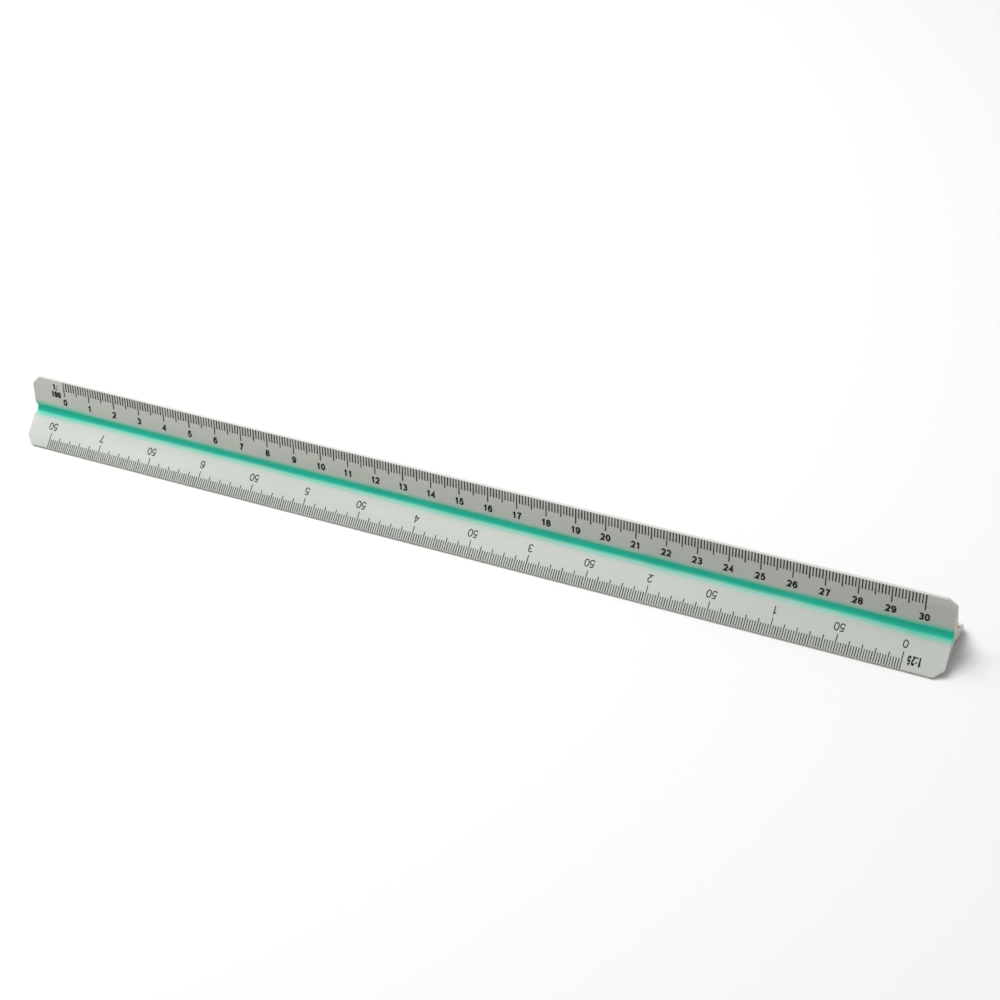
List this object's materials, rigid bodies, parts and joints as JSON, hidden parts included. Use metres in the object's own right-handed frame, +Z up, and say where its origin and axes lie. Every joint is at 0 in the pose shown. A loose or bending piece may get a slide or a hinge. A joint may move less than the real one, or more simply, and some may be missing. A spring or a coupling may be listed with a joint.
{
  "type": "triangular scale ruler",
  "caption": "Three-bladed white plastic bar with a coloured groove in each side and a printed drawing scale along every facet.",
  "frame": {"origin": "under the middle of the bar, on the surface it stands on", "axes": "+X along the bar, towards the 30 end of the 1:100 scale; +Z up; -Y towards the front side with the green groove"},
  "size_m": [0.3218, 0.0246, 0.0213],
  "materials": {
    "white_plastic": "satin moulded white plastic",
    "green_lining": "satin green groove colour",
    "red_lining": "satin red groove colour",
    "blue_lining": "satin blue groove colour",
    "print_ink": "matt black printing ink"
  },
  "bodies": {
    "root": {"bar": "white_plastic", "lining_front": "green_lining", "lining_back": "red_lining", "lining_base": "blue_lining", "marks_1_20": "print_ink", "marks_1_25": "print_ink", "marks_1_50": "print_ink", "marks_1_75": "print_ink", "marks_1_100": "print_ink", "marks_1_125": "print_ink"}
  },
  "joints": []
}
